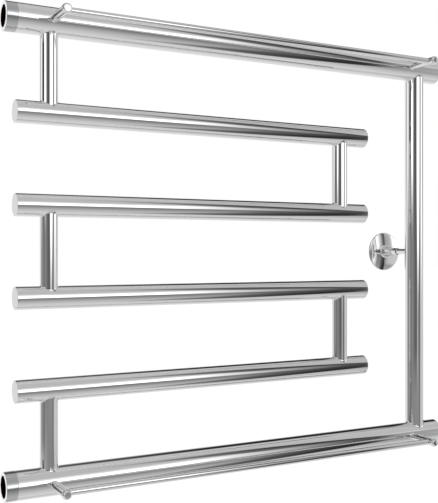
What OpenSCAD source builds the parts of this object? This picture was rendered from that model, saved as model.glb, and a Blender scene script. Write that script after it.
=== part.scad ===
// Water-heated towel rail: two headers joined by a riser and by a serpentine of bars.
// +X runs along the headers from the inlets to the closed ends, +Y towards the wall,
// +Z up. The origin is the centre of the lower inlet's mouth.

/* [Headers] */
// Distance between the axes of the two headers
header_centres = 500; // [400:10:700]
// Length of a header from the inlet's mouth to the closed end
header_len = 600; // [580:5:800]
// Outer diameter of a header
header_d = 32; // [30:0.5:38]
// Wall of a header tube
header_wall = 2; // [1.5:0.25:3]
// Length of the threaded sleeve welded to a header's open end
inlet_len = 12.5; // [10:0.5:20]
// Minor diameter of the sleeve's internal pipe thread
inlet_bore_d = 24.12; // [18:0.02:25]
// Length of a header that shows beyond the tube at its closed end
header_cap_len = 3; // [2:0.5:6]
// Chamfer round the closed end of a header
header_cap_chamfer = 0.6; // [0.2:0.1:1.5]

/* [Riser] */
// Outer diameter of the riser
riser_d = 25; // [20:0.5:28]
// Wall of the riser
riser_wall = 2; // [1:0.25:3]
// Distance from the closed ends of the headers to the riser's axis
riser_inset = 34.5; // [25:0.5:60]

/* [Bars] */
// Number of bars between the headers
bar_count = 4; // [2:1:6]
// Outer diameter of a bar
bar_d = 25; // [22:0.5:28]
// Wall of a bar
bar_wall = 2; // [1:0.25:3]
// Distance from the inlet's mouth to the left ends of the bars
bar_start = 12.5; // [5:0.5:40]
// Overall length of a bar with its end caps
bar_len = 464; // [300:2:480]
// Length of a bar's end cap beyond its tube
bar_cap_len = 2; // [1:0.5:5]
// Chamfer round the edge of a bar's end
bar_cap_chamfer = 0.4; // [0.1:0.1:1]

/* [Links] */
// Outer diameter of the links between the bars
link_d = 20; // [16:0.5:21]
// Wall of a link
link_wall = 1.5; // [1:0.25:2.5]
// Distance from a bar's end to the axis of the nearest link
link_inset = 37.5; // [20:0.5:60]

/* [Towel rails] */
// Diameter of the rail in front of each header
rail_d = 7.6; // [4:0.1:8]
// Distance from a header's front to the rail's axis
rail_clear = 34.65; // [25:0.05:60]
// Distance from the inlet's mouth to the left stand-off's axis
rail_start = 51; // [30:1:80]
// Distance from the closed end of a header to the right stand-off's axis
rail_end_inset = 52; // [40:1:100]
// Diameter of a stand-off's neck
neck_d = 7.4; // [5:0.1:8]
// Length of a stand-off's neck in front of the header
neck_len = 11; // [6:0.5:20]
// Diameter of a stand-off's collar
collar_d = 9.8; // [9:0.1:10]
// Chamfer at the back of a collar
collar_chamfer = 0.6; // [0.2:0.1:1]
// Diameter of the ball on a stand-off
ball_d = 10.6; // [10.5:0.1:16]
// Distance from the rail's axis to the ball's centre
ball_lead = 7.75; // [6.5:0.05:10]
// Distance from the ball's centre to the crown of its flattened front
ball_front = 4.2; // [3:0.1:5]
// Radius of the crown on a ball's flattened front
crown_r = 38; // [15:1:60]
// Depth of the socket that holds an end of a rail
rail_socket = 3.5; // [2:0.5:4]

/* [Wall bracket] */
// Distance from the axes of the headers to the wall
wall_distance = 65; // [55:1:80]
// Diameter of the pin on the back of the riser
pin_d = 7.5; // [6:0.5:8]
// Length of the pin that sits in the sleeve
pin_engage = 12; // [9:0.5:14]
// Length of the sleeve between its mouth and the wall
sleeve_len = 31; // [29:0.5:36]
// Diameter of the sleeve at its mouth
sleeve_mouth_d = 10.4; // [10:0.1:12]
// Chamfer round the sleeve's mouth
sleeve_chamfer = 0.3; // [0.1:0.1:0.5]
// Diameter of the sleeve's taper at the foot
sleeve_neck_d = 12; // [12:0.1:13.5]
// Diameter of the sleeve's foot, on which the rosette slides
sleeve_foot_d = 14; // [13.8:0.1:20]
// Length of the straight foot of the sleeve
sleeve_foot_len = 7.5; // [7:0.5:10]
// Chamfer between the foot and the taper
foot_chamfer = 0.6; // [0.2:0.1:0.8]
// Depth of the sleeve's bore for the pin
sleeve_bore_depth = 16.5; // [15:0.5:18]
// Minor diameter of the thread for the wall bolt
bolt_thread_d = 6.65; // [4:0.05:7]
// Depth of the thread for the wall bolt
bolt_thread_depth = 11; // [8:0.5:12]
// Diameter of the clamping screw
screw_d = 3; // [3:0.5:4]
// Distance from the sleeve's mouth to the clamping screw's axis
screw_inset = 4.5; // [4:0.5:7]
// Distance across the flats of the clamping screw's hexagon socket
screw_hex = 1.5; // [1.5:0.1:1.8]

/* [Rosette] */
// Diameter of the rosette at the wall
rosette_d = 54; // [45:1:70]
// Height of the rosette's rim at the wall
rosette_rim = 1.2; // [0.5:0.1:3]
// Depth of the rosette from its rim to its neck
rosette_depth = 5.6; // [4:0.1:6]
// Thickness of the rosette's sheet
rosette_wall = 1; // [0.6:0.1:2]

/* [Clearances] */
// Gap at each coped end, which the weld fills
weld_gap = 0.05; // [0.02:0.01:0.2]
// Radial gap round a cap's spigot
spigot_gap = 0.05; // [0.02:0.01:0.3]
// Depth of a cap's spigot in its tube
spigot_depth = 3; // [2:0.5:6]
// Radial gap between a rail and its sockets
socket_gap = 0.05; // [0.02:0.01:0.3]
// Radial running gap of the pin, the clamping screw and the rosette
running_gap = 0.06; // [0.02:0.01:0.1]

/* [Hidden] */
$fn = 72;
eps = 1;

bar_pitch = header_centres / (bar_count + 1);
header_r = header_d / 2;
bar_r = bar_d / 2;
riser_x = header_len - riser_inset;
left_link_x = bar_start + link_inset;
right_link_x = bar_start + bar_len - link_inset;

rail_y = -(header_r + rail_clear);
rail_end = header_len - rail_end_inset;
collar_start = -(header_r + neck_len);
ball_y = rail_y - ball_lead;

sleeve_mouth_y = wall_distance - sleeve_len;
screw_y = sleeve_mouth_y + screw_inset;
bracket_z = header_centres / 2;

// Tubes are counted from the top: 0 is the top header and bar_count + 1 the bottom one.
last_tube = bar_count + 1;
function tube_z(i) = header_centres - i * bar_pitch;
function tube_r(i) = i == 0 || i == last_tube ? header_r : bar_r;

// Link i runs from tube i - 1 down to tube i, on alternate sides from the left.
function on_left(i) = i % 2 == 1;
function link_x(i) = on_left(i) ? left_link_x : right_link_x;
function link_name(i) = str(on_left(i) ? "left_link_" : "right_link_", ceil(i / 2));
function bar_name(i) = str("bar_", i);
function cap_name(i, side) = str("bar_", i, "_", side, "_cap");

// A round bar along +X, +Y or +Z.
module rod_x(r, len) { rotate([0, 90, 0]) cylinder(r = r, h = len); }
module rod_y(r, len) { rotate([-90, 0, 0]) cylinder(r = r, h = len); }
module rod_z(r, len) { cylinder(r = r, h = len); }

// A revolved profile whose y is laid along +Y.
module turned_y() { rotate([-90, 0, 0]) rotate_extrude() children(); }

module tube_x(d, wall, len) {
    difference() {
        rod_x(d / 2, len);
        translate([-eps, 0, 0]) rod_x(d / 2 - wall, len + 2 * eps);
    }
}

// A round hole through one side of a tube on the X axis, upwards or downwards.
module port(x, r, up) { translate([x, 0, 0]) mirror([0, 0, up ? 0 : 1]) rod_z(r, header_d); }

// A header tube without its sleeve and cap, with its ports on the inner side.
module header(first_link, ports_up) {
    color("gainsboro")
        difference() {
            translate([inlet_len, 0, 0])
                tube_x(header_d, header_wall, header_len - inlet_len - header_cap_len);
            port(link_x(first_link), link_d / 2 - link_wall, ports_up);
            port(riser_x, riser_d / 2 - riser_wall, ports_up);
        }
}

// The ring with the pipe thread, butt-welded to the open end of a header.
module inlet_sleeve() {
    color("silver")
        difference() {
            rod_x(header_r, inlet_len);
            translate([-eps, 0, 0]) rod_x(inlet_bore_d / 2, inlet_len + 2 * eps);
        }
}

// A plug on the X axis: a chamfered disc, outside the tube, on a spigot that centres it.
module end_plug(d, wall, len, chamfer) {
    spigot_r = d / 2 - wall - spigot_gap;
    rotate([0, 90, 0])
        rotate_extrude()
            polygon([
                [0, -spigot_depth], [spigot_r, -spigot_depth], [spigot_r, 0], [d / 2, 0],
                [d / 2, len - chamfer], [d / 2 - chamfer, len], [0, len],
            ]);
}

module header_cap() {
    color("gainsboro")
        translate([header_len - header_cap_len, 0, 0])
            end_plug(header_d, header_wall, header_cap_len, header_cap_chamfer);
}

// An upright tube at x, coped over the tubes of radii r_low and r_high at its ends.
module coped_tube(x, d, wall, z_low, r_low, z_high, r_high) {
    len = z_high - z_low;
    translate([x, 0, z_low])
        difference() {
            rod_z(d / 2, len);
            translate([0, 0, -eps]) rod_z(d / 2 - wall, len + 2 * eps);
            translate([-d, 0, 0]) rod_x(r_low + weld_gap, 2 * d);
            translate([-d, 0, len]) rod_x(r_high + weld_gap, 2 * d);
        }
}

module riser() {
    color("gainsboro")
        coped_tube(riser_x, riser_d, riser_wall, 0, header_r, header_centres, header_r);
}

// Link i, between tube i above it and tube i below it.
module link(i) {
    color("silver")
        coped_tube(link_x(i), link_d, link_wall,
                   tube_z(i), tube_r(i), tube_z(i - 1), tube_r(i - 1));
}

// The tube of bar i, with a port to the link above it and one to the link below it.
module bar(i) {
    port_r = link_d / 2 - link_wall;
    color("gainsboro")
        translate([0, 0, tube_z(i)])
            difference() {
                translate([bar_start + bar_cap_len, 0, 0])
                    tube_x(bar_d, bar_wall, bar_len - 2 * bar_cap_len);
                port(link_x(i), port_r, true);
                port(link_x(i + 1), port_r, false);
            }
}

module bar_cap(i, side) {
    inner_end = side == "left" ? bar_start + bar_cap_len : bar_start + bar_len - bar_cap_len;
    color("whitesmoke")
        translate([inner_end, 0, tube_z(i)])
            mirror([side == "left" ? 1 : 0, 0, 0])
                end_plug(bar_d, bar_wall, bar_cap_len, bar_cap_chamfer);
}

// The thin rail in front of a header, from one stand-off's socket to the other's.
module towel_rail() {
    end_inset = collar_d / 2 - rail_socket + socket_gap;
    color("white")
        translate([rail_start + end_inset, rail_y, 0])
            rod_x(rail_d / 2, rail_end - rail_start - 2 * end_inset);
}

// A turned stand-off along -Y: neck, collar and ball with a crowned front, coped to the
// header and socketed on the side where the rail comes in.
module standoff(side) {
    x = side == "left" ? rail_start : rail_end;
    towards_rail = side == "left" ? 0 : 1;
    neck_r = neck_d / 2;
    collar_r = collar_d / 2;
    ball_r = ball_d / 2;
    ball_meets_collar = acos(collar_r / ball_r);
    // Where the ball's sphere and the crown's sphere meet, measured from the ball's centre
    crown_centre = ball_front - crown_r;
    rim_y = (ball_r * ball_r - crown_r * crown_r + crown_centre * crown_centre)
            / (2 * crown_centre);
    ball_meets_crown = asin(rim_y / ball_r);
    crown_meets_ball = asin((rim_y - crown_centre) / crown_r);
    color("white")
        translate([x, 0, 0])
            difference() {
                mirror([0, 1, 0])
                    turned_y()
                        polygon(concat(
                            [[0, header_r - neck_r], [neck_r, header_r - neck_r]],
                            [[neck_r, -collar_start], [collar_r - collar_chamfer, -collar_start]],
                            [[collar_r, -collar_start + collar_chamfer]],
                            [for (step = [0:20])
                                let (a = -ball_meets_collar
                                         + step * (ball_meets_crown + ball_meets_collar) / 20)
                                [ball_r * cos(a), -ball_y + ball_r * sin(a)]],
                            [for (step = [1:6])
                                let (a = crown_meets_ball + step * (90 - crown_meets_ball) / 6)
                                [crown_r * cos(a), -ball_y + crown_centre + crown_r * sin(a)]]
                        ));
                translate([-header_d, 0, 0]) rod_x(header_r + weld_gap, 2 * header_d);
                translate([0, rail_y, 0])
                    mirror([towards_rail, 0, 0])
                        translate([collar_r - rail_socket, 0, 0])
                            rod_x(rail_d / 2 + socket_gap, ball_d);
            }
}

// The pin welded to the back of the riser, which slides in the sleeve.
module bracket_pin() {
    color("silver")
        translate([riser_x, 0, bracket_z])
            difference() {
                rod_y(pin_d / 2, sleeve_mouth_y + pin_engage);
                translate([0, 0, -pin_d]) rod_z(riser_d / 2 + weld_gap, 2 * pin_d);
            }
}

// Radius of the sleeve's taper at a distance from the mouth.
function taper_r(y) =
    sleeve_mouth_d / 2 + (sleeve_neck_d - sleeve_mouth_d) / 2 * y / (sleeve_len - sleeve_foot_len);

// The sleeve on the wall bolt: a slow taper on a straight foot.
module bracket_sleeve() {
    mouth_r = sleeve_mouth_d / 2;
    foot_r = sleeve_foot_d / 2;
    foot_start = sleeve_len - sleeve_foot_len;
    color("silver")
        translate([riser_x, sleeve_mouth_y, bracket_z])
            difference() {
                turned_y()
                    polygon([
                        [0, 0], [mouth_r - sleeve_chamfer, 0],
                        [taper_r(sleeve_chamfer), sleeve_chamfer],
                        [sleeve_neck_d / 2, foot_start], [foot_r - foot_chamfer, foot_start],
                        [foot_r, foot_start + foot_chamfer], [foot_r, sleeve_len], [0, sleeve_len],
                    ]);
                translate([0, -eps, 0]) rod_y(pin_d / 2 + running_gap, sleeve_bore_depth + eps);
                translate([0, sleeve_len - bolt_thread_depth, 0])
                    rod_y(bolt_thread_d / 2, bolt_thread_depth + eps);
                translate([0, screw_inset, -foot_r]) rod_z(screw_d / 2 + running_gap, foot_r);
            }
}

// The grub screw under the sleeve, which clamps the pin.
module clamping_screw() {
    tip_r = pin_d / 2 + running_gap;
    head_r = taper_r(screw_inset - screw_d / 2);
    color("dimgray")
        translate([riser_x, screw_y, bracket_z - head_r])
            difference() {
                rod_z(screw_d / 2, head_r - tip_r);
                translate([0, 0, -eps])
                    cylinder(d = screw_hex / cos(30), h = eps + (head_r - tip_r) / 2, $fn = 6);
            }
}

// The domed shell that slides on the sleeve's foot and hides the hole in the wall.
module rosette() {
    rim_r = rosette_d / 2;
    neck_r = sleeve_foot_d / 2 + running_gap;
    steps = 16;
    // Quarter of an ellipse from the rim to the neck, at one distance inside the shell
    function dome(inset, neck) = [
        for (step = [0:steps])
        let (a = acos(neck / (rim_r - inset)) * step / steps)
        [(rim_r - inset) * cos(a), rosette_rim + (rosette_depth - inset) * sin(a)]
    ];
    outside = dome(0, neck_r);
    inside = dome(rosette_wall, neck_r);
    color("white")
        translate([riser_x, wall_distance, bracket_z])
            mirror([0, 1, 0])
                turned_y()
                    polygon(concat(
                        [[rim_r - rosette_wall, 0], [rim_r, 0]],
                        outside,
                        [for (step = [steps:-1:0]) inside[step]]
                    ));
}

module at_height(z) { translate([0, 0, z]) children(); }

at_height(header_centres) header(1, false);  // top_header
header(last_tube, true);  // bottom_header
at_height(header_centres) inlet_sleeve();  // top_inlet_sleeve
inlet_sleeve();  // bottom_inlet_sleeve
at_height(header_centres) header_cap();  // top_header_cap
header_cap();  // bottom_header_cap
riser();
for (i = [1:bar_count]) {
    bar(i);
    bar_cap(i, "left");
    bar_cap(i, "right");
}
for (i = [1:last_tube])
    link(i);
at_height(header_centres) towel_rail();  // top_rail
towel_rail();  // bottom_rail
at_height(header_centres) standoff("left");  // top_left_standoff
at_height(header_centres) standoff("right");  // top_right_standoff
standoff("left");  // bottom_left_standoff
standoff("right");  // bottom_right_standoff
bracket_pin();
bracket_sleeve();
clamping_screw();
rosette();
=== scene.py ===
# A water-heated towel rack in polished steel: tubes with ground welds, turned
# stand-offs with thin rails, threaded inlet sleeves and a telescopic wall bracket.
import math

import bmesh
import bpy
from mathutils import Matrix, Vector


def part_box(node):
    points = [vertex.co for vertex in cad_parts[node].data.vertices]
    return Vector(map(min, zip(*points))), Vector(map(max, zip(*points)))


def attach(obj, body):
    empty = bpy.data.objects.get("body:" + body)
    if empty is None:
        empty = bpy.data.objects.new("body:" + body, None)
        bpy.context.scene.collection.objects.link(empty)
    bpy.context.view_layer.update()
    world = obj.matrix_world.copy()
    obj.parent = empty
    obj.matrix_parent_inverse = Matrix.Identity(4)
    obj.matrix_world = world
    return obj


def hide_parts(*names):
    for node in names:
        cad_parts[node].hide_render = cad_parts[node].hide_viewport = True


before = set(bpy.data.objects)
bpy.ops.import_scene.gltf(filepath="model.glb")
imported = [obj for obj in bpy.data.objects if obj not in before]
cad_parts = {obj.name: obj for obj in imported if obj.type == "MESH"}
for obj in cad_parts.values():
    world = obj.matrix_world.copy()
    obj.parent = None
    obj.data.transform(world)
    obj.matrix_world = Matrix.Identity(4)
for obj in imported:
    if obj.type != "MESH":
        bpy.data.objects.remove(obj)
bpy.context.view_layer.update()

MM = 0.001
MICRON = 0.000001
TUBE_SIDES = 128
SMALL_SIDES = 64
SCREW_SIDES = 48
MERGE = 1e-7               # corners that are closer than this become one
LONG_STRETCH = 1.5 * MM
HOLD = 0.04 * MM           # from a long stretch's end to the loop that keeps it straight


# ---------------------------------------------------------------- places

def centre_of(node):
    low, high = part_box(node)
    return (Vector(low) + Vector(high)) / 2


def size_of(node):
    low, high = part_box(node)
    return Vector(high) - Vector(low)


HEADER_R = size_of("top_header").z / 2
BAR_R = size_of("bar_1").z / 2
LINK_R = size_of("left_link_1").x / 2
RISER_R = size_of("riser").x / 2
HEADER_Z = {"top": centre_of("top_header").z, "bottom": centre_of("bottom_header").z}
BRACKET = centre_of("bracket_sleeve")
BARS = (1, 2, 3, 4)

TUBE_WALL = 2 * MM
WELD = 1.1 * MM            # leg of the ground fillet at a coped end
SUNK = 0.3 * MM            # how far a coped end goes into the tube that it meets

THREAD_MINOR = 12.06 * MM  # of the pipe thread in an inlet
THREAD_PITCH = 1.814 * MM
THREAD_MAJOR = THREAD_MINOR + 0.64 * THREAD_PITCH
LEAD_IN = 1.4 * MM         # from an inlet's mouth to its thread
MOUTH_CHAMFER = 0.4 * MM
MOUTH_EDGE = 0.8 * MM

NECK_R = 3.7 * MM          # of a stand-off, from the header to its collar
NECK_LENGTH = 11 * MM
NECK_WELD = 0.9 * MM
COLLAR_R = 4.9 * MM
BALL_FRONT = 4.2 * MM      # from a ball's centre to its crown
CROWN_R = 38 * MM

MOUTH_R = 5.2 * MM         # of the bracket's sleeve, which tapers from its foot
TAPER_R = 6 * MM
FOOT_LENGTH = 7.5 * MM
FOOT_FILLET = 0.6 * MM
SOCKET_R = 3.81 * MM       # the bore that takes the pin
SOCKET_DEPTH = 16.5 * MM
BOLT_R = 3.33 * MM         # the thread on the wall bolt
BOLT_DEPTH = 11 * MM
SCREW_HEX = 0.866 * MM
RUNNING_GAP = 0.06 * MM
DOME_RISE = 3.2 * MM       # of the rosette's shallow cap, from its rim to its middle
NECK_FLARE = 1.6 * MM


# ---------------------------------------------------------------- shader maths

class Wire:
    """A shader socket that takes part in Python sums."""

    def __init__(self, graph, socket):
        self.graph, self.socket = graph, socket

    def maths(self, operation, *others, clamp=False):
        return self.graph.maths(operation, self, *others, clamp=clamp)

    def __add__(self, other):
        return self.maths("ADD", other)

    def __radd__(self, other):
        return self.graph.maths("ADD", other, self)

    def __sub__(self, other):
        return self.maths("SUBTRACT", other)

    def __rsub__(self, other):
        return self.graph.maths("SUBTRACT", other, self)

    def __mul__(self, other):
        return self.maths("MULTIPLY", other)

    def __rmul__(self, other):
        return self.graph.maths("MULTIPLY", other, self)

    def __truediv__(self, other):
        return self.maths("DIVIDE", other)

    def __rtruediv__(self, other):
        return self.graph.maths("DIVIDE", other, self)

    def __abs__(self):
        return self.maths("ABSOLUTE")


class Graph:
    """A node tree that is filled by one method."""

    def __init__(self, tree):
        self.tree = tree
        tree.nodes.clear()

    def node(self, kind, settings=None, **inputs):
        """Adds a node: its settings first, then the values or wires of its sockets."""
        made = self.tree.nodes.new("ShaderNode" + kind)
        for name, value in (settings or {}).items():
            if name == "stops":
                ramp = made.color_ramp.elements
                while len(ramp) < len(value):
                    ramp.new(0.5)
                for stop, (place, grey) in zip(ramp, value):
                    stop.position = place
                    stop.color = (grey, grey, grey, 1)
            else:
                setattr(made, name, value)
        for name, value in inputs.items():
            key = int(name[1:]) if name[0] == "_" else name.replace("_", " ")
            socket = made.inputs[key]
            if isinstance(value, Wire):
                self.tree.links.new(value.socket, socket)
            else:
                socket.default_value = value
        return made

    def wire(self, kind, output=0, settings=None, **inputs):
        made = self.node(kind, settings, **inputs)
        return Wire(self, made.outputs[output])

    def maths(self, operation, *values, clamp=False):
        inputs = {f"_{i}": v for i, v in enumerate(values)}
        return self.wire("Math", 0, {"operation": operation, "use_clamp": clamp}, **inputs)

    def step(self, value, low, high):
        """0 below low, 1 above high and smooth between them."""
        return self.wire("MapRange", 0, {"interpolation_type": "SMOOTHSTEP"},
                         Value=value, From_Min=low, From_Max=high)

    def band(self, value, low, high, soft):
        """1 between low and high, with soft edges."""
        rise = self.step(value, low - soft, low + soft)
        fall = self.step(value, high - soft, high + soft)
        return rise - fall

    def blend(self, factor, first, second):
        """Goes from one number to another as the factor goes from 0 to 1."""
        return self.wire("Mix", 0, {"data_type": "FLOAT"}, Factor=factor, A=first, B=second)


# ---------------------------------------------------------------- camera

CAMERA_PLACE = (-220.6 * MM, -892.7 * MM, 250 * MM)
CAMERA_YAW = 28.3          # degrees to the right of the wall's normal
CAMERA_LENS = 60.12
CAMERA_SENSOR = 36


def set_up_camera():
    data = bpy.data.cameras.new("camera")
    data.sensor_width = CAMERA_SENSOR
    data.lens = CAMERA_LENS
    camera = bpy.data.objects.new("camera", data)
    camera.location = CAMERA_PLACE
    camera.rotation_euler = (math.radians(90), 0, math.radians(-CAMERA_YAW))
    bpy.context.collection.objects.link(camera)
    bpy.context.scene.camera = camera


# ---------------------------------------------------------------- studio

SOFTBOX = 1.9              # light of a white panel
WHITE = 254                # display greys from here on are a white panel
POLISH = 0.9               # share of the light that a polished tube gives back


def seen(display):
    """The light that a mirror has to catch to show a display grey of 0 to 255."""
    share = display / 255
    light = share / 12.92 if share <= 0.04045 else ((share + 0.055) / 1.055) ** 2.4
    return SOFTBOX if display >= WHITE else light / POLISH


# What a mirror shows at each heading, in degrees from straight in front towards the
# closed ends, above eye height: white panels with dark gaps between them.
WALLS = [
    (-164, 222), (-148, 166), (-137, 200), (-129, 248), (-117, 248), (-106, 125), (-99, 88),
    (-84, 60), (-76, 70), (-74, 255), (-56, 255), (-53, 175), (-46, 142), (-38, 92), (-22, 70),
    (-16, 84), (-11, 185), (-5, 188), (-1, 255), (25, 255), (27, 248), (29, 222), (33, 154),
    (36, 94), (37.7, 46), (39.4, 152), (51, 185), (60, 255), (67, 255), (70, 190), (103, 188),
    (130, 240),
]
# The same just under eye height, where the panels have ended.
SKIRTING = [
    (-180, 240), (-164, 215), (-147, 212), (-138, 236), (-130, 162), (-118, 118), (-108, 145),
    (-96, 140), (-88, 100), (-80, 122), (-70, 120), (-56, 133), (-44, 112), (-18, 88),
    (-8, 92), (4, 178), (11, 172), (17, 108), (22, 102), (26, 120), (29, 122), (32, 98),
    (37, 52), (38, 56), (40, 150), (46, 190), (52, 194), (72, 198), (104, 197), (118, 212),
    (150, 252),
]
# Floor, front and ceiling, by degrees about the headers: 0 in front, 90 overhead.
OVER_AND_UNDER = [
    (-180, 195), (-154, 219), (-140, 220), (-126, 215), (-112, 202), (-105, 187), (-98, 199),
    (-84, 212), (-70, 202), (-56, 194), (-35, 170), (-28, 160), (-14, 130), (-8, 140),
    (-4, 205), (-1, 254), (18, 254), (21, 247), (28, 226), (36, 193), (41, 184), (77, 184),
    (86, 194), (103, 186), (112, 196), (119, 172), (126, 105), (137, 60), (146, 95), (156, 160),
    (168, 215), (180, 215),
]

# All angles are in degrees. A pair holds an edge's two ends, and a band of three its
# two edges and how soft they are. A pair "by height" is for under and over eye height.
EYE_HEIGHT = (-8, 12)

POST_LEAN = (0.0026, 0.003)          # by height, for each degree of tilt squared
POST_NEAR_SIDE = (29.5, 33.5)
POST_FAR_SIDE = (38.8, 40.4)
POST_TURN = (32.5, 37.2)             # from the post's near face to its far one
POST_NEAR_SHIFT = 0.4                # how much further out each edge is over eye height
POST_FAR_SHIFT = 1.0
POST_TURN_SHIFT = 2.0
POST_NEAR_GREY = (86, 96)            # by height
POST_FAR_GREY = (44, 50)
POST_GLOW = (0.05, 0.005)            # by height, added to the post's ends
POST_GLOW_SLOPE = (34, 50)
POST_END_SLOPE = (52, 70)

MIDDLE = (-4, 4)                     # of the front wall
PANEL_END = (3.0, -0.6)              # height, before and beyond the middle
PANEL_ENDS_RAISED = [((24, 48, 8), 4.6), ((-80, -40, 6), 1.6)]
PANEL_END_SOFT = (-4, 4)
UPRIGHT_PANELS = (10, 50, 8)         # headings at which the panels' edges follow the reach
WALL_FOOT = (-8, -14)                # height, in front and at the sides
FRONT_MIDDLE = -12
FRONT_HALF_WIDTH = (44, 54)
WALL_FOOT_SOFT = (-2, 2)
ROOF_TILT = (22, 34)
ROOF_HEIGHT = (14, 24)
LOW_ROOF = (4, 26, 4)                # reach at which the roof comes lower
LOW_ROOF_TILT = (17, 23)

FLAG_REACH = (-20, -12)
FLAG_HEIGHT = (14, 20)
FLAG_SLOPE = (36, 44)
FLAG_GREY = 30

GAP = (124, 150, 6)
GAP_SLANT = 0.33
GAP_REACH = (14, 28)
GAP_GREY = 25


def ramp(g, angle, table):
    """A grey by angle, from -180 to 180 degrees."""
    stops = [((place + 180) / 360, seen(grey)) for place, grey in table]
    return g.wire("ValToRGB", 0, {"stops": stops}, Fac=(angle + 180) / 360)


class Gaze:
    """The angles of a ray that leaves for the room."""

    def __init__(self, g):
        ray = g.node("TexCoord").outputs["Generated"]
        parts = g.node("SeparateXYZ", Vector=Wire(g, ray))
        x, y, z = (Wire(g, socket) for socket in parts.outputs)
        degrees = 180 / math.pi
        self.heading = g.maths("ARCTAN2", x, y * -1) * degrees
        self.tilt = g.maths("ARCTAN2", z, y * -1) * degrees
        self.height = g.maths("ARCSINE", z) * degrees
        self.reach = g.maths("ARCSINE", x) * degrees
        self.slope = abs(self.tilt)
        self.above = g.step(self.tilt, *EYE_HEIGHT)


def with_post(g, gaze, light):
    """A dark post in front, which leans towards the middle of the room over and under it."""
    across = gaze.reach + gaze.tilt * gaze.tilt * g.blend(gaze.above, *POST_LEAN)
    near_side = g.step(across - gaze.above * POST_NEAR_SHIFT, *POST_NEAR_SIDE)
    far_side = g.step(across - gaze.above * POST_FAR_SHIFT, *POST_FAR_SIDE)
    post = near_side * (1 - far_side)
    near_grey = g.blend(gaze.above, *map(seen, POST_NEAR_GREY))
    far_grey = g.blend(gaze.above, *map(seen, POST_FAR_GREY))
    turn = g.step(across - gaze.above * POST_TURN_SHIFT, *POST_TURN)
    shade = g.blend(turn, near_grey, far_grey)
    shade = shade + g.step(gaze.slope, *POST_GLOW_SLOPE) * g.blend(gaze.above, *POST_GLOW)
    return g.blend(post * (1 - g.step(gaze.slope, *POST_END_SLOPE)), light, shade)


def with_walls(g, gaze, light):
    """Panels round the room, between the floor and the roof."""
    panel_end = g.blend(g.step(gaze.heading, *MIDDLE), *PANEL_END)
    for headings, rise in PANEL_ENDS_RAISED:
        panel_end = panel_end + g.band(gaze.heading, *headings) * rise
    over_skirting = g.step(gaze.height - panel_end, *PANEL_END_SOFT)
    upright = g.band(gaze.heading, *UPRIGHT_PANELS)
    bearing = gaze.heading + (gaze.reach - gaze.heading) * upright
    walls = g.blend(over_skirting, ramp(g, gaze.heading, SKIRTING), ramp(g, bearing, WALLS))

    foot = g.blend(g.step(abs(gaze.heading - FRONT_MIDDLE), *FRONT_HALF_WIDTH), *WALL_FOOT)
    high_roof = g.step(gaze.tilt, *ROOF_TILT) * g.step(gaze.height, *ROOF_HEIGHT)
    low_roof = g.step(gaze.tilt, *LOW_ROOF_TILT)
    roof = g.blend(g.band(gaze.reach, *LOW_ROOF), high_roof, low_roof)
    in_walls = g.step(gaze.height - foot, *WALL_FOOT_SOFT) * (1 - roof)
    return g.blend(in_walls, light, walls)


def with_flags(g, gaze, light):
    """Black flags over and under the panels on the side of the inlets."""
    flag = (1 - g.step(gaze.reach, *FLAG_REACH)) * g.step(abs(gaze.height), *FLAG_HEIGHT)
    flag = flag * (1 - g.step(gaze.slope, *FLAG_SLOPE))
    return g.blend(flag, light, seen(FLAG_GREY))


def with_ceiling_gap(g, gaze, light):
    """A dark gap in the ceiling behind the rack, deeper towards the closed ends."""
    gap = g.band(gaze.tilt + gaze.reach * GAP_SLANT, *GAP) * g.step(gaze.reach, *GAP_REACH)
    return g.blend(gap, light, seen(GAP_GREY))


def set_up_room():
    """The world: white to the camera, plain to matt surfaces, panelled to mirrors."""
    world = bpy.data.worlds.new("studio")
    world.use_nodes = True
    bpy.context.scene.world = world
    g = Graph(world.node_tree)
    gaze = Gaze(g)
    light = ramp(g, gaze.tilt, OVER_AND_UNDER)
    for add in (with_post, with_walls, with_flags, with_ceiling_gap):
        light = add(g, gaze, light)
    mirrored = g.wire("Background", Color=light)
    plain = g.wire("Background", Color=(0.9, 0.9, 0.9, 1))
    white = g.wire("Background", Color=(1, 1, 1, 1))
    path = g.node("LightPath").outputs
    shiny = g.wire("MixShader", _0=Wire(g, path["Is Glossy Ray"]), _1=plain, _2=mirrored)
    whole = g.wire("MixShader", _0=Wire(g, path["Is Camera Ray"]), _1=shiny, _2=white)
    g.node("OutputWorld", Surface=whole)


FLOOR_DROP = 0.55          # the floor lies this far under the lower header
FLOOR_REACH = 30
FLOOR_GREY = 0.55
FLOOR_GLOW = 0.52          # what the pale floor lacks to look as white as the room


def set_up_floor():
    grid = bmesh.new()
    bmesh.ops.create_grid(grid, x_segments=1, y_segments=1, size=FLOOR_REACH)
    bmesh.ops.translate(grid, vec=(0, 0, -FLOOR_DROP), verts=grid.verts)
    mesh = bpy.data.meshes.new("floor")
    grid.to_mesh(mesh)
    grid.free()
    floor = bpy.data.objects.new("floor", mesh)
    bpy.context.collection.objects.link(floor)
    floor.visible_glossy = False
    material = bpy.data.materials.new("pale_floor")
    material.use_nodes = True
    g = Graph(material.node_tree)
    matt = g.wire("BsdfDiffuse", Color=(FLOOR_GREY, FLOOR_GREY, FLOOR_GREY, 1))
    glow = g.wire("Emission", Color=(1, 1, 1, 1), Strength=FLOOR_GLOW)
    both = g.wire("AddShader", _0=matt, _1=glow)
    g.node("OutputMaterial", Surface=both)
    mesh.materials.append(material)


LAMP_PLACE = (-0.4, -1.6, 2.6)
LAMP_TARGET = (0.3, 0, 0)
LAMP_SIZE = (2.4, 1.6)
LAMP_POWER = 18


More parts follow.
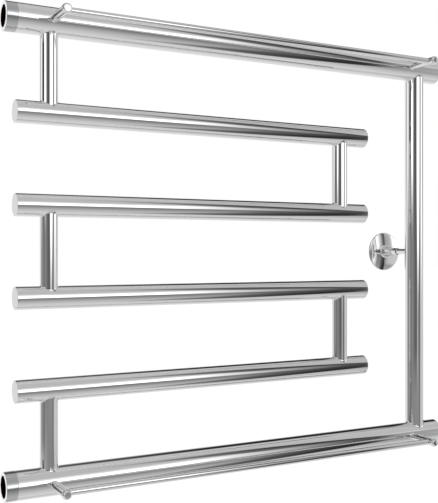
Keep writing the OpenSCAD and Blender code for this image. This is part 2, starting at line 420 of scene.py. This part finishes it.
def set_up_lamp():
    data = bpy.data.lights.new("overhead_panel", "AREA")
    data.shape = "RECTANGLE"
    data.size, data.size_y = LAMP_SIZE
    data.energy = LAMP_POWER
    lamp = bpy.data.objects.new("overhead_panel", data)
    lamp.location = LAMP_PLACE
    aim = Vector(LAMP_TARGET) - Vector(lamp.location)
    lamp.rotation_euler = aim.to_track_quat("-Z", "Y").to_euler()
    lamp.visible_glossy = False
    bpy.context.collection.objects.link(lamp)


# ---------------------------------------------------------------- finishes

CLOUD_SCALE = 14
CLOUD_CLEAR = 0.35         # cloud values below this leave the tone as it is
NOISE_MEAN = 0.5


def metal(name, colour, roughness, change, grain, grain_depth, mottle, metallic=1.0):
    """A steel finish: grain is the noise's scale along X, Y and Z, change its spread."""
    material = bpy.data.materials.new(name)
    material.use_nodes = True
    g = Graph(material.node_tree)
    place = Wire(g, g.node("TexCoord").outputs["Object"])
    stretched = g.wire("Mapping", Vector=place, Scale=grain)
    lines = g.wire("TexNoise", Vector=stretched, Scale=1, Detail=3, Roughness=0.6)
    cloud = g.wire("TexNoise", Vector=place, Scale=CLOUD_SCALE, Detail=2)
    rough = roughness + (cloud - NOISE_MEAN) * change + (lines - NOISE_MEAN) * change
    tone = 1 - (cloud - CLOUD_CLEAR).maths("MULTIPLY", mottle, clamp=True)
    tint = g.wire("Mix", 2, {"data_type": "RGBA", "blend_type": "MULTIPLY"},
                  Factor=1.0, _6=(*colour, 1), _7=tone)
    bump = g.wire("Bump", Height=lines, Strength=1, Distance=grain_depth)
    shader = g.wire("BsdfPrincipled", Base_Color=tint, Metallic=metallic,
                    Roughness=rough, Normal=bump)
    g.node("OutputMaterial", Surface=shader)
    return material


ALONG_X = (8, 700, 700)
ALONG_Z = (700, 700, 8)
LATHE_LINES = (2600, 12, 12)         # rings round the axis of a turned sleeve
SCALE = (60, 400, 400)
FINE = (300, 300, 300)
MEDIUM = (600, 600, 600)
COARSE = (900, 900, 900)

STEEL = (0.9, 0.9, 0.905)
PLATE = (0.91, 0.91, 0.915)
TURNED_STEEL = (0.6, 0.6, 0.6)
# near white: a painted highlight on the faced steel of the inlets' mouths
FACED_HIGHLIGHT_WHITE = (0.98, 0.98, 0.98)
GROUND_STEEL = (0.87, 0.87, 0.87)
# near black: scale inside the tubes, darkened further as painted shade in the bores
SCALE_AND_SHADE_STEEL = (0.012, 0.012, 0.012)
PLAIN_STEEL = (0.42, 0.42, 0.43)

POLISHED_X = metal("polished_tube_x", STEEL, 0.03, 0.02, ALONG_X, 0.5 * MICRON, 0.05)
POLISHED_Z = metal("polished_tube_z", STEEL, 0.03, 0.02, ALONG_Z, 0.5 * MICRON, 0.05)
PLATED = metal("plated_fitting", PLATE, 0.03, 0.02, FINE, 1 * MICRON, 0.04)
SLEEVE = metal("turned_sleeve", TURNED_STEEL, 0.09, 0.06, LATHE_LINES, 4 * MICRON, 0.15)
# Faced steel at the inlets' mouths, near white and mostly matt: a painted highlight.
SLEEVE_FACE_HIGHLIGHT = metal("turned_face_painted_highlight", FACED_HIGHLIGHT_WHITE, 0.5, 0.1, MEDIUM, 4 * MICRON, 0.04, 0.2)
CAP = metal("ground_cap", GROUND_STEEL, 0.16, 0.08, COARSE, 4 * MICRON, 0.08)
# The bores' finish: rough scale, made near black as painted shade in the hollows.
BORE_SCALE_AND_SHADE = metal("bore_scale_and_painted_shade", SCALE_AND_SHADE_STEEL, 0.8, 0.15, SCALE, 40 * MICRON, 0.3)
SCREW = metal("plain_screw", PLAIN_STEEL, 0.3, 0.1, COARSE, 10 * MICRON, 0.3)


# ---------------------------------------------------------------- mesh tools

def finish_piece(bm, name, materials, body, node, sharp=32):
    """Turns a bmesh into a shown piece with smooth faces and crisp edges."""
    bmesh.ops.remove_doubles(bm, verts=bm.verts, dist=MERGE)
    bmesh.ops.recalc_face_normals(bm, faces=bm.faces)
    mesh = bpy.data.meshes.new(name)
    bm.to_mesh(mesh)
    bm.free()
    mesh.shade_smooth()
    mesh.set_sharp_from_angle(angle=math.radians(sharp))
    for material in materials:
        mesh.materials.append(material)
    piece = bpy.data.objects.new(name, mesh)
    bpy.context.collection.objects.link(piece)
    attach(piece, body)
    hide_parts(node)


AXES = {
    "x": Matrix.Rotation(math.radians(90), 3, "Y"),
    "y": Matrix.Rotation(math.radians(-90), 3, "X"),
}


def held(profile, closed):
    """Adds a point close to each end of a long stretch, so its shading stays straight."""
    points = [Vector(point) for point in profile]
    ends = points[1:] + (points[:1] if closed else [])
    result = []
    for start, end in zip(points, ends):
        result.append(start)
        if (end - start).length > LONG_STRETCH:
            step = (end - start).normalized() * HOLD
            result += [start + step, end - step]
    return result if closed else result + points[-1:]


def corners_of(parts):
    """The corners of edges or faces, each once and in the order in which they are met."""
    return list(dict.fromkeys(vert for part in parts for vert in part.verts))


def lathe(bm, profile, axis, place, sides, closed=False, paint=None):
    """Spins a profile of (radius, distance along the axis) round an axis at a place."""
    turn = AXES[axis]
    profile = held(profile, closed)
    corners = [bm.verts.new(turn @ Vector((radius, 0, along))) for radius, along in profile]
    pairs = list(zip(corners, corners[1:]))
    if closed:
        pairs.append((corners[-1], corners[0]))
    edges = [bm.edges.new(pair) for pair in pairs]
    before = set(bm.faces)
    bmesh.ops.spin(bm, geom=corners + edges, cent=(0, 0, 0), axis=turn @ Vector((0, 0, 1)),
                   angle=math.tau, steps=sides, use_merge=True)
    fresh = [face for face in bm.faces if face not in before]
    verts = corners_of(fresh)
    if paint:
        for face in fresh:
            middle = turn.transposed() @ face.calc_center_median()
            face.material_index = paint(math.hypot(middle.x, middle.y), middle.z)
    bmesh.ops.translate(bm, vec=place, verts=verts)
    bmesh.ops.remove_doubles(bm, verts=verts, dist=MERGE)


def arc(centre, radius, start, end, steps):
    """Points of an arc in a profile, between two angles in degrees from the radius."""
    angles = [math.radians(start + (end - start) * i / steps) for i in range(steps + 1)]
    return [(centre[0] + radius * math.cos(a), centre[1] + radius * math.sin(a)) for a in angles]


def pushed_out(bm, loop):
    """Extrudes a loop of edges and gives the new loop back."""
    made = bmesh.ops.extrude_edge_only(bm, edges=loop)["geom"]
    return [item for item in made if isinstance(item, bmesh.types.BMEdge)]


def outward(vert, radius):
    """The place at a radius from the Z axis on a corner's side of it."""
    return Vector((vert.co.x, vert.co.y)).normalized() * radius


# ---------------------------------------------------------------- tubes

def tube_profile(radius, length, seam):
    """An open tube, with half of a thin seam at each end."""
    bore = radius - TUBE_WALL
    return [(bore, 0), (radius - seam, 0), (radius, seam),
            (radius, length - seam), (radius - seam, length), (bore, length)]


def header(level):
    node = f"{level}_header"
    low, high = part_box(node)
    seam = 0.25 * MM
    bm = bmesh.new()
    # The tube's inner face gets the near-black bore finish: scale with painted shade.
    lathe(bm, tube_profile(HEADER_R, high[0] - low[0], seam), "x", (low[0], 0, HEADER_Z[level]),
          TUBE_SIDES, closed=True,
          paint=lambda radius, along: int(radius < HEADER_R - TUBE_WALL / 2))
    finish_piece(bm, f"{level}_header_tube", [POLISHED_X, BORE_SCALE_AND_SHADE], "rack", node)


def header_cap(level):
    node = f"{level}_header_cap"
    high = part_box(node)[1][0]
    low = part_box(f"{level}_header")[1][0]
    edge = 0.8 * MM
    bm = bmesh.new()
    profile = [(0, 0), (HEADER_R, 0)]
    profile += arc((HEADER_R - edge, high - low - edge), edge, 0, 90, 6) + [(0, high - low)]
    lathe(bm, profile, "x", (low, 0, HEADER_Z[level]), TUBE_SIDES)
    finish_piece(bm, f"{level}_closed_end", [CAP], "rack", node)


def inlet_sleeve(level):
    """A turned ring with a pipe thread, whose mouth is faced and chamfered."""
    node = f"{level}_inlet_sleeve"
    low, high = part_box(node)
    length = high[0] - low[0]
    seam = 0.2 * MM
    edge_centre = HEADER_R - MOUTH_EDGE
    bm = bmesh.new()
    profile = [(THREAD_MAJOR, length), (THREAD_MAJOR, LEAD_IN), (THREAD_MINOR, LEAD_IN),
               (THREAD_MINOR, MOUTH_CHAMFER), (THREAD_MINOR + MOUTH_CHAMFER, 0), (edge_centre, 0)]
    profile += arc((edge_centre, MOUTH_EDGE), MOUTH_EDGE, 270, 360, 5)[1:]
    profile += [(HEADER_R, length - seam), (HEADER_R - seam, length)]

    # Slot 1, the faced mouth and its chamfer, is near white as a painted highlight.
    def paint(radius, along):
        if along < MOUTH_CHAMFER and radius < HEADER_R - MOUTH_EDGE / 4:
            return 1
        # Slot 2 is the bore, its land and thread: near black, scale with painted shade.
        return 2 if radius < THREAD_MAJOR + seam else 0

    place = (low[0], 0, HEADER_Z[level])
    lathe(bm, profile, "x", place, TUBE_SIDES, closed=True, paint=paint)
    pipe_thread(bm, place, length)
    finish_piece(bm, f"{level}_threaded_sleeve", [SLEEVE, SLEEVE_FACE_HIGHLIGHT, BORE_SCALE_AND_SHADE], "rack",
                 node)


def pipe_thread(bm, place, length):
    """The ridge of an internal thread: one tooth spun along the bore."""
    turns = (length - LEAD_IN - THREAD_PITCH) / THREAD_PITCH
    steps = int(turns * SCREW_SIDES)
    foot, crest = 0.46 * THREAD_PITCH, 0.12 * THREAD_PITCH
    start = LEAD_IN + THREAD_PITCH / 2
    root = THREAD_MAJOR + 0.1 * MM
    points = [(root, start - foot), (THREAD_MINOR, start - crest),
              (THREAD_MINOR, start + crest), (root, start + foot)]
    before = set(bm.faces)
    tooth = bm.faces.new([bm.verts.new((along, radius, 0)) for radius, along in points])
    bmesh.ops.spin(bm, geom=[tooth], cent=(0, 0, 0), axis=(1, 0, 0),
                   dvec=(turns * THREAD_PITCH / steps, 0, 0), angle=math.tau * turns,
                   steps=steps, use_merge=False)
    ridge = [face for face in bm.faces if face not in before]
    # The ridge takes slot 2, the near-black bore finish: scale with painted shade.
    for face in ridge:
        face.material_index = 2
    bmesh.ops.translate(bm, vec=place, verts=corners_of(ridge))


def bar(number):
    node = f"bar_{number}"
    low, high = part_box(node)
    seam = 0.12 * MM
    bm = bmesh.new()
    lathe(bm, tube_profile(BAR_R, high[0] - low[0], seam), "x", (low[0], 0, centre_of(node).z),
          TUBE_SIDES, closed=True)
    finish_piece(bm, f"bar_tube_{number}", [POLISHED_X], "rack", node)
    bar_cap(number, "left", low[0])
    bar_cap(number, "right", high[0])


def bar_cap(number, side, joint):
    node = f"bar_{number}_{side}_cap"
    low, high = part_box(node)
    end = low[0] if side == "left" else high[0]
    length = abs(end - joint)
    seam = 0.1 * MM
    edge = 0.35 * MM
    bm = bmesh.new()
    profile = [(0, 0), (BAR_R - seam, 0), (BAR_R, seam)]
    profile += arc((BAR_R - edge, length - edge), edge, 0, 90, 4) + [(0, length)]
    lathe(bm, profile, "x", (0, 0, 0), TUBE_SIDES,
          paint=lambda radius, along: int(radius < BAR_R - edge))
    if side == "left":
        bmesh.ops.scale(bm, vec=(-1, 1, 1), verts=bm.verts)
    bmesh.ops.translate(bm, vec=(joint, 0, centre_of(node).z), verts=bm.verts)
    finish_piece(bm, f"bar_{number}_{side}_end", [POLISHED_X, CAP], "rack", node)


def saddle(radius, y):
    """Height of a lying tube's surface over its axis, at a distance y across it."""
    return math.sqrt(radius ** 2 - y ** 2)


def coped_tube(node, name, radius, low_z, low_r, high_z, high_r):
    """An upright tube whose ends run out into the lying tubes on ground weld fillets."""
    fillet = [math.radians(90 * i / 6) for i in range(7)]
    legs = [(WELD * (1 - math.cos(a)), WELD * (1 - math.sin(a))) for a in fillet]
    rings = [(WELD, -SUNK, low_z, low_r, 1)]
    rings += [(out, up, low_z, low_r, 1) for out, up in reversed(legs)]
    rings += [(0, WELD + HOLD, low_z, low_r, 1), (0, WELD + HOLD, high_z, high_r, -1)]
    rings += [(out, up, high_z, high_r, -1) for out, up in legs]
    rings += [(WELD, -SUNK, high_z, high_r, -1)]
    bm = bmesh.new()
    bmesh.ops.create_circle(bm, segments=TUBE_SIDES, radius=radius)
    loop = list(bm.edges)
    for index, (out, up, axis_z, lying_r, way) in enumerate(rings):
        if index:
            loop = pushed_out(bm, loop)
        for vert in corners_of(loop):
            across = outward(vert, radius + out)
            height = axis_z + way * (saddle(lying_r, across.y) + up)
            vert.co = (across.x, across.y, height)
    bmesh.ops.translate(bm, vec=(centre_of(node).x, 0, 0), verts=bm.verts)
    bmesh.ops.holes_fill(bm, edges=bm.edges, sides=0)
    finish_piece(bm, name, [POLISHED_Z], "rack", node, sharp=50)


def tubes():
    for level in ("top", "bottom"):
        header(level)
        header_cap(level)
        inlet_sleeve(level)
    for number in BARS:
        bar(number)
    heights = [HEADER_Z["top"], *[centre_of(f"bar_{n}").z for n in BARS], HEADER_Z["bottom"]]
    radii = [HEADER_R, *[BAR_R] * len(BARS), HEADER_R]
    for index in range(len(heights) - 1):
        side = "left" if index % 2 == 0 else "right"
        number = index // 2 + 1
        coped_tube(f"{side}_link_{number}", f"{side}_connecting_tube_{number}", LINK_R,
                   heights[index + 1], radii[index + 1], heights[index], radii[index])
    coped_tube("riser", "riser_tube", RISER_R, HEADER_Z["bottom"], HEADER_R,
               HEADER_Z["top"], HEADER_R)


# ---------------------------------------------------------------- towel rails

def towel_rail(level):
    node = f"{level}_rail"
    low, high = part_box(node)
    radius = (high[2] - low[2]) / 2
    length = high[0] - low[0]
    edge = 0.2 * MM
    bm = bmesh.new()
    profile = [(0, 0), (radius - edge, 0), (radius, edge),
               (radius, length - edge), (radius - edge, length), (0, length)]
    centre = centre_of(node)
    lathe(bm, profile, "x", (low[0], centre.y, centre.z), SMALL_SIDES)
    finish_piece(bm, f"{level}_towel_rail", [POLISHED_X], "rack", node)


def standoff(level, side):
    """Neck, collar and ball with a crowned front, turned from one bar, on a small weld."""
    node = f"{level}_{side}_standoff"
    low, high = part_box(node)
    centre = centre_of(node)
    ball_r = (high[0] - low[0]) / 2
    ball_y = low[1] + BALL_FRONT
    neck_end = HEADER_R + NECK_LENGTH
    meet = math.degrees(math.acos(COLLAR_R / ball_r))
    crown_centre = BALL_FRONT - CROWN_R
    rim = (ball_r ** 2 - CROWN_R ** 2 + crown_centre ** 2) / (2 * crown_centre)
    edge = 0.6 * MM
    base = HEADER_R - 0.6 * MM
    weld_top = HEADER_R + 0.8 * MM
    groove = 0.2 * MM
    bm = bmesh.new()
    profile = [(0, base), (NECK_R + NECK_WELD, base)]
    profile += arc((NECK_R + NECK_WELD, weld_top), NECK_WELD, 270, 180, 6)
    profile += [(NECK_R, neck_end), (COLLAR_R - edge, neck_end)]
    profile += arc((COLLAR_R - edge, neck_end + edge), edge, 270, 360, 5)[1:]
    profile += [(COLLAR_R, -ball_y - ball_r * math.sin(math.radians(meet)) - groove)]
    profile += arc((0, -ball_y), ball_r, -meet, math.degrees(math.asin(rim / ball_r)), 28)
    crown_edge = math.degrees(math.asin((rim - crown_centre) / CROWN_R))
    profile += arc((0, -ball_y + crown_centre), CROWN_R, crown_edge, 90, 6)[1:]
    profile[-1] = (0, -low[1])
    lathe(bm, profile, "y", (0, 0, 0), SMALL_SIDES)
    bmesh.ops.scale(bm, vec=(1, -1, 1), verts=bm.verts)
    bmesh.ops.translate(bm, vec=(centre.x, 0, centre.z), verts=bm.verts)
    finish_piece(bm, f"{level}_{side}_turned_standoff", [PLATED], "rack", node)


# ---------------------------------------------------------------- wall bracket

def bracket_pin():
    low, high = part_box("bracket_pin")
    radius = (high[0] - low[0]) / 2
    weld = 1.3 * MM
    weld_top = RISER_R + 1.1 * MM
    root = RISER_R - 0.6 * MM
    edge = 0.5 * MM
    bm = bmesh.new()
    profile = [(0, root), (radius + weld, root)]
    profile += arc((radius + weld, weld_top), weld, 270, 180, 6)
    profile += [(radius, high[1] - edge), (radius - edge, high[1]), (0, high[1])]
    lathe(bm, profile, "y", (BRACKET.x, 0, BRACKET.z), SMALL_SIDES)
    finish_piece(bm, "bracket_rod", [PLATED], "rack", "bracket_pin")


def drilled(bm, place, radius, depth):
    """Drills an upright hole and gives the drilled bmesh back."""
    bmesh.ops.recalc_face_normals(bm, faces=bm.faces)
    bit = bmesh.new()
    bmesh.ops.create_cone(bit, segments=SMALL_SIDES, radius1=radius, radius2=radius,
                          depth=depth, cap_ends=True, matrix=Matrix.Translation(place))
    made = []
    for part in (bm, bit):
        mesh = bpy.data.meshes.new("blank")
        part.to_mesh(mesh)
        part.free()
        made.append(bpy.data.objects.new("blank", mesh))
        bpy.context.collection.objects.link(made[-1])
    cut = made[0].modifiers.new("cut", "BOOLEAN")
    cut.operation = "DIFFERENCE"
    cut.solver = "EXACT"
    cut.object = made[1]
    bpy.context.view_layer.update()
    result = bmesh.new()
    result.from_object(made[0], bpy.context.evaluated_depsgraph_get())
    for blank in made:
        mesh = blank.data
        bpy.data.objects.remove(blank)
        bpy.data.meshes.remove(mesh)
    return result


def bracket_sleeve():
    """A tapered socket for the pin, on a foot with a plain bore for the wall bolt."""
    low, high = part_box("bracket_sleeve")
    foot_r = (high[0] - low[0]) / 2
    length = high[1] - low[1]
    foot = length - FOOT_LENGTH
    taper = (TAPER_R - MOUTH_R) / foot
    edge = 0.3 * MM
    socket_wall = SOCKET_R + 0.05 * MM
    bm = bmesh.new()
    profile = [(0, SOCKET_DEPTH), (SOCKET_R, SOCKET_DEPTH), (SOCKET_R, edge), (SOCKET_R + edge, 0)]
    profile += arc((MOUTH_R - edge + taper * edge, edge), edge, 270, 356, 5)
    profile += [(TAPER_R, foot)]
    profile += arc((foot_r - FOOT_FILLET, foot + FOOT_FILLET), FOOT_FILLET, 270, 360, 6)
    profile += [(foot_r, length), (BOLT_R, length), (BOLT_R, length - BOLT_DEPTH),
                (0, length - BOLT_DEPTH)]
    # The socket's bore gets the near-black finish: scale with painted shade.
    lathe(bm, profile, "y", (BRACKET.x, low[1], BRACKET.z), TUBE_SIDES,
          paint=lambda radius, along: int(radius < socket_wall))
    screw = centre_of("clamping_screw")
    top = BRACKET.z - SOCKET_R / 2
    bottom = BRACKET.z - foot_r * 2
    bm = drilled(bm, Vector((screw.x, screw.y, (top + bottom) / 2)),
                 size_of("clamping_screw").x / 2 + RUNNING_GAP, top - bottom)
    finish_piece(bm, "bracket_socket", [PLATED, BORE_SCALE_AND_SHADE], "bracket",
                 "bracket_sleeve")


def clamping_screw():
    """A grub screw with a hexagon socket in its lower end."""
    low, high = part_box("clamping_screw")
    centre = centre_of("clamping_screw")
    radius = (high[0] - low[0]) / 2
    depth = high[2] - low[2]
    bevel = 0.25 * MM
    tip = 0.3 * MM
    bm = bmesh.new()
    bmesh.ops.create_cone(bm, segments=6, radius1=SCREW_HEX, radius2=SCREW_HEX, depth=depth / 2)
    for face in [f for f in bm.faces if f.normal.z < -0.5]:
        bm.faces.remove(face)
    bmesh.ops.reverse_faces(bm, faces=bm.faces)
    bmesh.ops.translate(bm, vec=(0, 0, depth / 4), verts=bm.verts)
    rim = [edge for edge in bm.edges if edge.is_boundary]
    outer = bmesh.ops.create_circle(bm, segments=SCREW_SIDES, radius=radius - bevel)["verts"]
    ring = list(dict.fromkeys(edge for vert in outer for edge in vert.link_edges))
    bmesh.ops.triangle_fill(bm, edges=rim + ring, use_beauty=True)
    loop = ring
    for grown, up in ((radius, bevel), (radius, depth - tip), (radius - tip, depth)):
        loop = pushed_out(bm, loop)
        for vert in corners_of(loop):
            across = outward(vert, grown)
            vert.co = (across.x, across.y, up)
    bmesh.ops.holes_fill(bm, edges=loop, sides=0)
    bmesh.ops.translate(bm, vec=(centre.x, centre.y, low[2]), verts=bm.verts)
    finish_piece(bm, "grub_screw", [SCREW], "grub", "clamping_screw")


def rosette():
    """A pressed dome with a rolled rim and a flanged neck."""
    low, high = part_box("rosette")
    rim_r = (high[0] - low[0]) / 2
    neck_r = size_of("bracket_sleeve").x / 2 + RUNNING_GAP
    depth = high[1] - low[1]
    rim, wall = 1.2 * MM, 1.0 * MM
    lip = 0.3 * MM
    outer_neck = neck_r + wall * 0.9     # the neck is drawn a little thinner
    cap_steps, flare_steps = 32, 8

    def dome(inset, neck):
        """A shallow cap, then a flare up into the neck."""
        outer = rim_r - inset
        foot = neck + NECK_FLARE
        cap = []
        for i in range(cap_steps + 1):
            r = outer + (foot - outer) * i / cap_steps
            cap.append((r, rim + DOME_RISE * (1 - (r / rim_r) ** 2) - inset))
        top = cap[-1][1] + NECK_FLARE
        flare = []
        for i in range(1, flare_steps + 1):
            turn = math.radians(90) * i / flare_steps
            flare.append((foot - NECK_FLARE * math.sin(turn), top - NECK_FLARE * math.cos(turn)))
        return cap + flare

    bm = bmesh.new()
    profile = [(rim_r - wall, 0), (rim_r - lip, 0), (rim_r, lip), (rim_r, rim - lip)]
    profile += dome(0, outer_neck)[1:]
    profile += [(outer_neck, depth - lip), (outer_neck - lip, depth), (neck_r, depth)]
    profile += list(reversed(dome(wall, neck_r)))
    lathe(bm, profile, "y", (0, 0, 0), TUBE_SIDES, closed=True)
    bmesh.ops.scale(bm, vec=(1, -1, 1), verts=bm.verts)
    bmesh.ops.translate(bm, vec=(BRACKET.x, high[1], BRACKET.z), verts=bm.verts)
    finish_piece(bm, "domed_rosette", [PLATED], "cover", "rosette", sharp=40)


# ---------------------------------------------------------------- the whole

set_up_camera()
set_up_room()
set_up_floor()
set_up_lamp()
tubes()
for level in ("top", "bottom"):
    towel_rail(level)
    for side in ("left", "right"):
        standoff(level, side)
bracket_pin()
bracket_sleeve()
clamping_screw()
rosette()

bpy.context.scene.view_settings.view_transform = "Standard"
